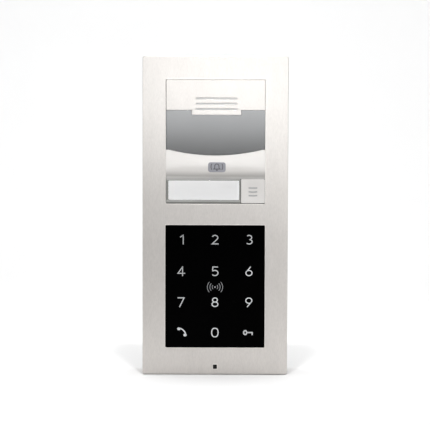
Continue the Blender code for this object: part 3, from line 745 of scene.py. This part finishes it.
def draw_bell(shape, x, z):
    """A bell with a clapper and a sound wave on each side."""
    dome = [(x - 2.3 * MM, z - 1.35 * MM), (x - 1.6 * MM, z - 0.6 * MM)]
    dome += arc((x, z + 0.75 * MM), (1.55 * MM, 1.6 * MM), 180, 0, 14)
    dome += [(x + 1.6 * MM, z - 0.6 * MM), (x + 2.3 * MM, z - 1.35 * MM)]
    ribbon(shape, dome, BELL_STROKE, BELL_LEVEL, True)
    disc(shape, (x, z - 2.15 * MM), (0.7 * MM, 0.5 * MM), BELL_LEVEL)
    for facing in (180, 0):
        wave = arc((x, z + 0.3 * MM), (4.3 * MM, 4.3 * MM), facing - 30, facing + 30, 10)
        ribbon(shape, wave, BELL_STROKE, BELL_LEVEL)


def make_badge():
    """Small rounded badge with a ringing bell on it."""
    rect = front_rect("cover_badge")
    badge = prism("badge_plate", rect_outline(*rect, 1.9 * MM, 8), (26.0 * MM, 27.98 * MM), (), 0.22 * MM)
    settle(badge, "panel", "badge_grey", ["cover_badge"])
    x, z = rect_middle(rect)
    bell = mark("badge_bell", lambda shape: draw_bell(shape, x, z))
    settle(bell, "panel", "badge_grey", material=BELL_LOOK)


LENS_BACK = 26.5 * MM
LENS_GAP = 0.15 * MM
SILL_DROP = 1.25 * MM        # height of the dark strip under the sill
RAIL_INSET = 0.3 * MM
RIM_WIDTH = 1.0 * MM


def make_nameplate():
    """Dark tray with rails above and below the card, a lighter grey than the tray as painted light where they
    catch light, a glowing ring round the card as a painted highlight of the lens edge, and the clear window
    over it.
    """
    x_low, x_high, z_low, z_high = front_rect("nameplate_tray")
    x_low, z_low, z_high = x_low - REACH, z_low - REACH, z_high - 0.02 * MM
    left, right, foot, top = front_rect("nameplate_window")
    lens = (left - 0.1 * MM, right - 0.3 * MM, foot - 0.1 * MM, top + 0.4 * MM)
    hole = grown(lens, LENS_GAP)
    tray = prism("nameplate_bezel", rect_outline(x_low, x_high, z_low, z_high, 0.5 * MM, 4),
                 (PIECE_BACK, 26.6 * MM), [rect_outline(*hole, 0.4 * MM, 4)], 0.15 * MM)
    settle(tray, "panel", "grey_plastic", ["nameplate_tray"])
    # The sill and top rail wear a lighter copy of the tray's grey: painted light.
    for name, low, high in (("nameplate_sill", z_low + SILL_DROP, hole[2]),
                            ("nameplate_top_rail", hole[3], z_high)):
        outline = rect_outline(x_low + RAIL_INSET, x_high - RAIL_INSET, low, high, 0.3 * MM, 4)
        rail = prism(name, outline, (26.0 * MM, 27.2 * MM), (), 0.1 * MM)
        settle(rail, "panel", "grey_plastic", material=RAIL_LIT_LOOK)
    # A ring that glows round the card, in front of it: a painted highlight of the lens edge.
    card_front = -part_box("name_card")[0].y
    rim = prism("lens_edge_highlight_ring", rect_outline(*lens, 0.4 * MM),
                (card_front + 0.05 * MM, card_front + 0.2 * MM),
                [rect_outline(*grown(lens, -RIM_WIDTH), 0.3 * MM)])
    settle(rim, "panel", "diffuser_white", material=RIM_HIGHLIGHT_LOOK)
    window = prism("nameplate_lens", rect_outline(*lens, 0.5 * MM, 5), (LENS_BACK, WINDOW_FRONT), (),
                   0.35 * MM, 4)
    settle(window, "nameplate_window", "clear_plastic", ["nameplate_window"])


BUTTON_REACH = 0.12 * MM
BUTTON_FRONT = 27.9 * MM
STEM_BACK, STEM_FRONT = 20.3 * MM, 26.0 * MM
STEM_RADIUS = 3.0 * MM
COLLAR_FRONT = 21.1 * MM
COLLAR_RADIUS = 5.4 * MM
DISH_RADIUS = 110 * MM       # radius of the sphere that the dish is cut with
DISH_DEPTH = 0.22 * MM
DISH_EDGE = 9 * MM
DISH_RINGS = 12
DASHES = ((2.6, 0.10), (-0.35, 0.30), (-3.05, 0.16))    # height and sag of each, in millimetres
DASH_HALF = 3.2 * MM
DASH_STROKE = 1.05 * MM
DASH_LEVEL = (27.4 * MM, 27.85 * MM)
DASH_STEPS = 12


def finger_dish(x, z):
    """Cutter for the shallow dish in the button's cap."""
    rings = []
    for step in range(1, DISH_RINGS + 1):
        radius = DISH_EDGE * step / DISH_RINGS
        level = BUTTON_FRONT - DISH_DEPTH + radius ** 2 / (2 * DISH_RADIUS)
        rings.append([(px, -level, pz) for px, pz in arc((x, z), (radius, radius), 0, 354, 59)])
    rings.append([(px, -29.5 * MM, pz) for px, _, pz in rings[-1]])
    return loft("dish", rings)


def draw_dashes(shape, x, z):
    for row, sag in DASHES:
        path = []
        for step in range(DASH_STEPS + 1):
            t = 2 * step / DASH_STEPS - 1
            path.append((x + DASH_HALF * t, z + (row - 0.25 + sag * t * t) * MM))
        ribbon(shape, path, DASH_STROKE, DASH_LEVEL)


def make_call_button():
    """Square cap with soft edges, a shallow finger dish and three dashes of darker grey, painted shade for
    three engraved grooves.
    """
    x_low, x_high, z_low, z_high = front_rect("call_button")
    x, z = rect_middle((x_low, x_high, z_low, z_high))
    outline = rect_outline(x_low - 1.5 * BUTTON_REACH, x_high + 1.5 * BUTTON_REACH,
                           z_low, z_high + BUTTON_REACH, 0.8 * MM)
    cap = prism("call_button_cap", outline, (25.7 * MM, BUTTON_FRONT))
    dish = finger_dish(x, z)
    stem = rod_mesh("stem", (x, z), (STEM_BACK, STEM_FRONT), STEM_RADIUS)
    collar = rod_mesh("collar", (x, z), (STEM_BACK, COLLAR_FRONT), COLLAR_RADIUS)
    carve(cap, [dish])
    carve(cap, [stem, collar], "UNION")
    soften(cap, 0.5 * MM, 4, 45)
    settle(cap, "button", "button_silver", ["call_button"])
    # Three flat marks of darker grey that stand in for the shade in engraved grooves: painted shade.
    dashes = mark("button_dashes", lambda shape: draw_dashes(shape, x, z))
    settle(dashes, "button", "button_silver", material=DASH_SHADE_LOOK)


WIRE_RADIUS = 0.25 * MM
SPRING_TURNS = 4
TURN_STEPS = 24


def make_button_spring():
    """Return spring of the call button, a coil of wire in place of the CAD spring; the real one shortens by
    the button's travel.
    """
    low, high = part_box("button_spring")
    x, z = (low.x + high.x) / 2, (low.z + high.z) / 2
    coil = (high.x - low.x) / 2 - WIRE_RADIUS
    back, length = high.y - WIRE_RADIUS, high.y - low.y - 2 * WIRE_RADIUS
    count = SPRING_TURNS * TURN_STEPS
    path = []
    for step in range(count + 1):
        angle = math.tau * step / TURN_STEPS
        path.append((x + coil * math.cos(angle), back - length * step / count, z + coil * math.sin(angle)))
    spring = wire_mesh("button_return_spring", path, WIRE_RADIUS)
    settle(spring, "panel", "steel", ["button_spring"])
    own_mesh(spring)


# Keypad. A glyph's own numbers are millimetres.


CAP = 7.3
STROKE = 0.69 * MM
LEVEL = (27.6 * MM, 27.74 * MM)
COLUMNS = (-25.0 * MM, 0.0, 25.0 * MM)
ROWS = [plate_low.z + height * MM for height in (99.7, 76.3, 53.4, 30.9)]
READER_Z = plate_low.z + 64.6 * MM


def squircle(centre, radii, power, steps=40):
    """A closed loop between an ellipse (power 1) and a rectangle (power 0)."""
    points = []
    for step in range(steps):
        c, s = math.cos(math.tau * step / steps), math.sin(math.tau * step / steps)
        points.append((centre[0] + radii[0] * math.copysign(abs(c) ** power, c),
                       centre[1] + radii[1] * math.copysign(abs(s) ** power, s)))
    return points


def glyph(digit):
    """Centre lines of a digit, measured from the middle of its foot: (points, closed) each."""
    if digit == 0:
        return [(squircle((0, CAP / 2), (2.35, 3.2), 0.82), True)]
    if digit == 1:
        return [([(-0.8, 5.35), (1.5, 6.75)], False), ([(1.5, 0.0), (1.5, CAP)], False)]
    if digit == 2:
        return [([*arc((-0.05, 5.0), (2.05, 1.83), 158, -22, 20), (-2.15, 0.48), (2.55, 0.48)], False)]
    if digit == 3:
        return [(arc((0.05, 5.27), (1.85, 1.57), 140, -90, 20), False),
                (arc((0.05, 2.09), (2.2, 1.61), 90, -142, 22), False)]
    if digit == 4:
        return [([(1.05, 6.9), (-2.35, 2.1), (2.95, 2.1)], False), ([(1.05, 0.0), (1.05, CAP)], False)]
    if digit == 5:
        return [([(2.15, 6.83), (-1.6, 6.83), (-1.85, 3.75)], False),
                (arc((-0.15, 2.4), (2.35, 1.92), 138, -142, 24), False)]
    if digit == 6:
        return [(arc((0.0, 2.4), (2.25, 1.93), 0, 350, 35), True), ([(1.25, 7.1), (-1.95, 3.2)], False)]
    if digit == 7:
        return [([(-2.55, 6.83), (2.2, 6.83), (-1.15, 0.0)], False)]
    if digit == 8:
        return [(arc((0, 5.32), (1.8, 1.5), 0, 350, 35), True),
                (arc((0, 2.13), (2.2, 1.65), 0, 350, 35), True)]
    return [([(-px, CAP - pz) for px, pz in points], closed) for points, closed in glyph(6)]


def draw_digit(shape, digit, x, z):
    for points, closed in glyph(digit):
        path = [(x + px * MM, z + (pz - CAP / 2) * MM) for px, pz in points]
        ribbon(shape, path, STROKE, LEVEL, closed)


def draw_handset(shape, x, z):
    """Telephone handset lying on a slant, earpiece at the upper left."""
    x, z = x + 0.7 * MM, z + 0.4 * MM
    handle = [(x + px * MM, z + pz * MM) for px, pz in arc((-3.2, -3.2), (6.1, 6.1), 84, 6, 20)]
    ribbon(shape, handle, 0.85 * MM, LEVEL)
    for px, pz in ((-2.3, 2.3), (2.25, -2.25)):
        disc(shape, (x + px * MM, z + pz * MM), (1.25 * MM, 1.05 * MM), LEVEL)


def draw_key(shape, x, z):
    """Key lying down: its bow at the left, and a shaft with one bit."""
    x -= 0.45 * MM
    ribbon(shape, arc((x - 2.15 * MM, z), (1.15 * MM, 1.45 * MM), 0, 350, 35), 0.95 * MM, LEVEL, True)
    shaft = [(x + px * MM, z + pz * MM) for px, pz in ((-0.8, 0.1), (3.0, 0.1), (3.0, -1.8))]
    ribbon(shape, shaft, 0.9 * MM, LEVEL)


def draw_waves(shape, x, z):
    """A dot with three waves on each side, for the contactless reader."""
    disc(shape, (x, z), (0.62 * MM, 0.62 * MM), LEVEL)
    for radius, spread in ((2.05, 44), (3.8, 44), (5.65, 42)):
        for facing in (0, 180):
            path = arc((x, z), (radius * MM, radius * MM), facing - spread, facing + spread, 20)
            ribbon(shape, path, 0.42 * MM, LEVEL)


def digit_look(column, row):
    """The digits brighten towards the lower right, where their light guide is fed."""
    share = 0.35 * column / 2 + 0.65 * row / 3
    return DIGIT_LOOKS[min(int(share * 5 + 0.3), 3)]


def make_keypad():
    """Black glass with the digits and symbols printed on it."""
    x_low, x_high, z_low, z_high = front_rect("keypad_glass")
    outline = rect_outline(x_low - 1.5 * REACH, x_high + 1.5 * REACH, z_low - REACH, z_high, 0.7 * MM)
    glass = prism("keypad_glass_pane", outline, (PIECE_BACK, PIECE_FRONT), (), 0.1 * MM)
    settle(glass, "panel", "black_glass", ["keypad_glass"])
    for digit in range(10):
        column, row = ((digit - 1) % 3, (digit - 1) // 3) if digit else (1, 3)
        piece = mark(f"digit_{digit}", lambda shape: draw_digit(shape, digit, COLUMNS[column], ROWS[row]))
        settle(piece, "panel", "diffuser_white", material=digit_look(column, row))
    symbols = (("handset_symbol", draw_handset, COLUMNS[0], ROWS[3], DIGIT_LOOKS[3]),
               ("key_symbol", draw_key, COLUMNS[2], ROWS[3], DIGIT_LOOKS[2]),
               ("reader_symbol", draw_waves, 0.0, READER_Z, DIM_LOOK))
    for name, draw, x, z, finish in symbols:
        piece = mark(name, lambda shape: draw(shape, x, z))
        settle(piece, "panel", "diffuser_white", material=finish)


# Stage


FLOOR_GAP = 0.4 * MM         # dark line under the panel's foot
FLOOR_HALF_WIDTH = 7.0
FLOOR_FRONT = -7.0
SWEEP_START = 0.55
SWEEP_RADIUS = 0.45
WALL_TOP = 1.8


def make_stage():
    """Pale floor that the panel stands on, sweeping up to a pale wall behind."""
    floor_z = plate_low.z - FLOOR_GAP
    profile = [(FLOOR_FRONT, 0.0), (SWEEP_START, 0.0)]
    profile += arc((SWEEP_START, SWEEP_RADIUS), (SWEEP_RADIUS, SWEEP_RADIUS), -80, 0, 8)
    profile += [(SWEEP_START + SWEEP_RADIUS, WALL_TOP)]
    shape = bmesh.new()
    rows = [[shape.verts.new((x, y, floor_z + z)) for y, z in profile]
            for x in (-FLOOR_HALF_WIDTH, FLOOR_HALF_WIDTH)]
    for index in range(len(profile) - 1):
        shape.faces.new((rows[0][index], rows[1][index], rows[1][index + 1], rows[0][index + 1]))
    mesh = bpy.data.meshes.new("floor")
    shape.to_mesh(mesh)
    shape.free()
    floor = new_object("floor", mesh)
    floor.data.shade_smooth()
    surface = Look("pale_floor", (0.85, 0.85, 0.85), 0.85, Specular_IOR_Level=0.1)
    surface.tint(surface.noise((3, 3, 3), 1.0), 0.99, 1.01)
    wear(floor, surface.material)


def area_light(name, place, target, size, power, color=(1.0, 1.0, 1.0), spread=180):
    """A rectangle of light, metres wide and high, of a power in watts, that the camera doesn't see."""
    data = bpy.data.lights.new(name, "AREA")
    data.shape = "RECTANGLE"
    data.size, data.size_y = size
    data.energy = power
    data.color = color
    data.spread = math.radians(spread)
    lamp = bpy.data.objects.new(name, data)
    lamp.location = place
    lamp.rotation_mode = "QUATERNION"
    lamp.rotation_quaternion = (Vector(target) - Vector(place)).to_track_quat("-Z", "Y")
    lamp.visible_camera = False
    bpy.context.scene.collection.objects.link(lamp)


WORLD_STRENGTH = 0.484


def make_lights():
    """Even studio light, with a small lamp above the front that casts the shadow on the floor."""
    world = bpy.data.worlds.new("studio")
    bpy.context.scene.world = world
    world.use_nodes = True
    world.node_tree.nodes["Background"].inputs["Color"].default_value = (1.0, 1.0, 1.0, 1.0)
    world.node_tree.nodes["Background"].inputs["Strength"].default_value = WORLD_STRENGTH
    area_light("key_above", (-0.05, -0.22, 0.70), (0.0, 0.08, -0.1), (0.9, 0.30), 1.0)
    area_light("key_spot", (0.0, -FRONT - 0.155, 0.49), (0.0, 0.03, -0.117), (0.03, 0.03), 1.05)
    area_light("front_card", (0.03, -2.0, 0.29), (0.0, 0.0, 0.06), (0.66, 0.34), 0.285,
               color=(0.965, 0.985, 1.0), spread=60)
    area_light("fill_right", (0.42, -1.3, -0.12), (0.0, 0.0, -0.06), (0.3, 0.5), 0.39, spread=90)
    for direction, name in ((-1, "edge_left"), (1, "edge_right")):
        area_light(name, (direction * 1.1, -0.18, 0.12), (0.0, -0.03, 0.0), (0.16, 0.5), 1.5)
    bounce_y = -FRONT - 0.022
    area_light("floor_bounce", (0.0, bounce_y, plate_low.z + MM), (0.0, bounce_y, 0.0), (0.15, 0.036),
               0.0006)
    area_light("wall_wash", (0.0, 0.15, 1.3), (0.0, 0.9, -0.05), (1.6, 0.4), 11.7)


CAMERA_DISTANCE = 0.80
CAMERA_PITCH = 2.3
CAMERA_ROLL = -0.17
SENSOR = 36.0
FIELD_WIDTH = 316.2 * MM     # width of what the camera sees at the panel's front
AIM_X = -0.26 * MM
AIM_Z = 2.68 * MM


def make_camera():
    """Long lens, square to the front and a little from above."""
    data = bpy.data.cameras.new("camera")
    data.sensor_width = SENSOR
    data.lens = SENSOR * CAMERA_DISTANCE / FIELD_WIDTH
    pitch = math.radians(CAMERA_PITCH)
    aim = Vector((AIM_X, -FRONT, AIM_Z))
    camera = bpy.data.objects.new("camera", data)
    camera.location = aim + Vector((0.0, -math.cos(pitch), math.sin(pitch))) * CAMERA_DISTANCE
    camera.rotation_euler = (math.radians(90) - pitch, math.radians(CAMERA_ROLL), 0.0)
    data.clip_start, data.clip_end = 0.01, 20.0
    bpy.context.scene.collection.objects.link(camera)
    bpy.context.scene.camera = camera


# Looks of single pieces that differ from their slot's


# Brighter nickel for the trims round the openings: a painted highlight.
EDGE_HIGHLIGHT_LOOK = brushed_nickel("painted_highlight_edge", 1.22).material
WINDOW_LOOK = black_glass("camera_window_black", 0.5, 0.14, Coat_Weight=1.0, Coat_IOR=1.93,
                          Coat_Roughness=0.14).material
# A lighter copy of the tray's grey for the nameplate's sill and rail: painted light.
RAIL_LIT_LOOK = plastic("rail_grey_painted_light", (0.42, 0.42, 0.40), 0.4).material
BELL_LOOK = plastic("bell_grey", (0.085, 0.085, 0.095), 0.5).material
# Glow for the ring round the name card: a painted highlight of the lens edge.
RIM_HIGHLIGHT_LOOK = marking("painted_lens_edge_highlight", (0.85, 0.85, 0.85), 0.5).material
# Near-black for the plug behind the microphone hole: painted shade.
HOLE_SHADE_LOOK = plastic("painted_hole_shade", (0.002, 0.002, 0.002), 0.9, 1800, 0.00005).material
# Darker grey for the button's dashes: painted shade of engraved grooves.
DASH_SHADE_LOOK = plastic("dash_groove_shade", (0.36, 0.36, 0.36), 0.5).material
DIGIT_LOOKS = []
for step, glow in enumerate((0.02, 0.12, 0.27, 0.48)):
    level = 0.36 + 0.025 * step
    DIGIT_LOOKS.append(marking(f"digit_print_{step}", (level, level * 1.03, level * 1.05), glow).material)
DIM_LOOK = marking("reader_print", (0.24, 0.25, 0.26), 0.01).material
# Pale grey for the cloth behind the grille slots, lightened against the slots' shade: painted light.
CLOTH_LIT_LOOK = plastic("speaker_cloth_painted_light", (0.70, 0.70, 0.695), 0.9, 1800, 0.00005).material


# The picture


bpy.context.scene.view_settings.view_transform = "Standard"
make_camera()
dress_frame()
make_faceplate()
make_speaker_cover()
make_camera_window()
make_lower_cover()
make_badge()
make_nameplate()
make_call_button()
make_button_spring()
make_keypad()
make_stage()
make_lights()
